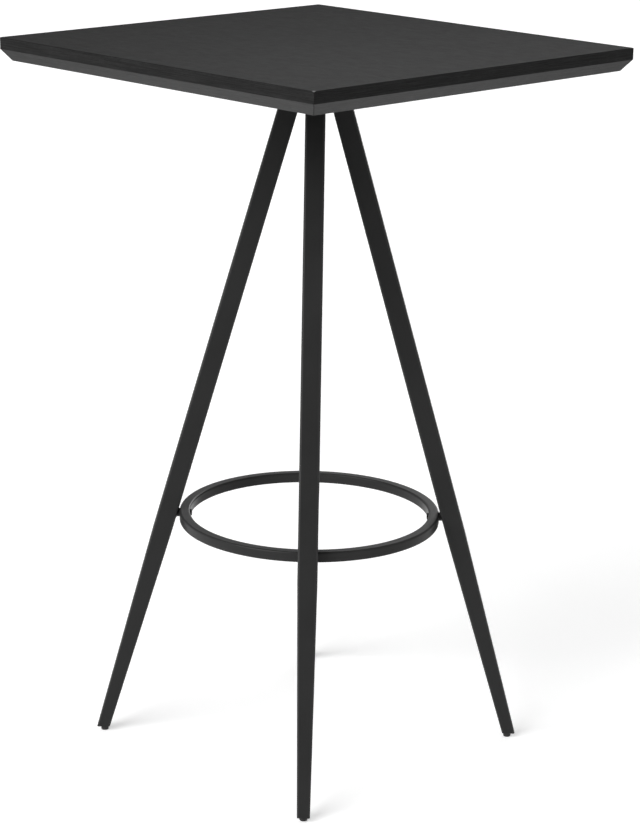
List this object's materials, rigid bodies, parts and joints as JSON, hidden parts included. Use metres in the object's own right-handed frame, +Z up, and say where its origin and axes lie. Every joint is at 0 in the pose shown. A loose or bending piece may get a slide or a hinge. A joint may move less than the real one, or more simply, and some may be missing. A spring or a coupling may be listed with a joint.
{
  "type": "pub table",
  "caption": "Tall square pub table: under-bevelled dark wood top, slanted square legs that taper to the floor, a round foot ring inside them and screw glides.",
  "frame": {"origin": "on the floor under the middle of the top, glides screwed right in", "axes": "+Z up; the top's sides lie along X and Y with its front facing -Y; the legs lie on the diagonals"},
  "size_m": [0.61, 0.61, 1.016],
  "materials": {
    "black_veneer": "black stained veneer, satin lacquer, fine straight grain",
    "black_edge": "black stained solid edge, satin lacquer",
    "core_board": "raw fibreboard",
    "black_backer": "black balancing laminate, matt",
    "black_powder_coat": "black powder coat, satin with a fine texture",
    "black_screw": "black oxide steel",
    "zinc_steel": "zinc plated steel",
    "black_nylon": "moulded black nylon, matt"
  },
  "bodies": {
    "table": {"top_core": "core_board", "top_veneer": "black_veneer", "top_backer": "black_backer", "edge_lipping_front": "black_edge", "edge_lipping_right": "black_edge", "edge_lipping_back": "black_edge", "edge_lipping_left": "black_edge", "leg_front_right": "black_powder_coat", "leg_plate_front_right": "black_powder_coat", "leg_plug_front_right": "black_nylon", "leg_back_right": "black_powder_coat", "leg_plate_back_right": "black_powder_coat", "leg_plug_back_right": "black_nylon", "leg_back_left": "black_powder_coat", "leg_plate_back_left": "black_powder_coat", "leg_plug_back_left": "black_nylon", "leg_front_left": "black_powder_coat", "leg_plate_front_left": "black_powder_coat", "leg_plug_front_left": "black_nylon", "plate_bolts": "black_screw", "plate_washers": "zinc_steel", "threaded_inserts": "zinc_steel", "foot_ring": "black_powder_coat", "ring_bushes": "black_powder_coat", "ring_bolts": "black_screw"},
    "glide_front_right": {"glide_base_front_right": "black_nylon", "glide_stud_front_right": "zinc_steel"},
    "glide_back_right": {"glide_base_back_right": "black_nylon", "glide_stud_back_right": "zinc_steel"},
    "glide_back_left": {"glide_base_back_left": "black_nylon", "glide_stud_back_left": "zinc_steel"},
    "glide_front_left": {"glide_base_front_left": "black_nylon", "glide_stud_front_left": "zinc_steel"}
  },
  "joints": [
    {"name": "glide_front_right_out", "type": "slide", "parent": "table", "child": "glide_front_right", "axis": [0, 0, -1], "range_m": [0, 0.008]},
    {"name": "glide_back_right_out", "type": "slide", "parent": "table", "child": "glide_back_right", "axis": [0, 0, -1], "range_m": [0, 0.008]},
    {"name": "glide_back_left_out", "type": "slide", "parent": "table", "child": "glide_back_left", "axis": [0, 0, -1], "range_m": [0, 0.008]},
    {"name": "glide_front_left_out", "type": "slide", "parent": "table", "child": "glide_front_left", "axis": [0, 0, -1], "range_m": [0, 0.008]}
  ]
}
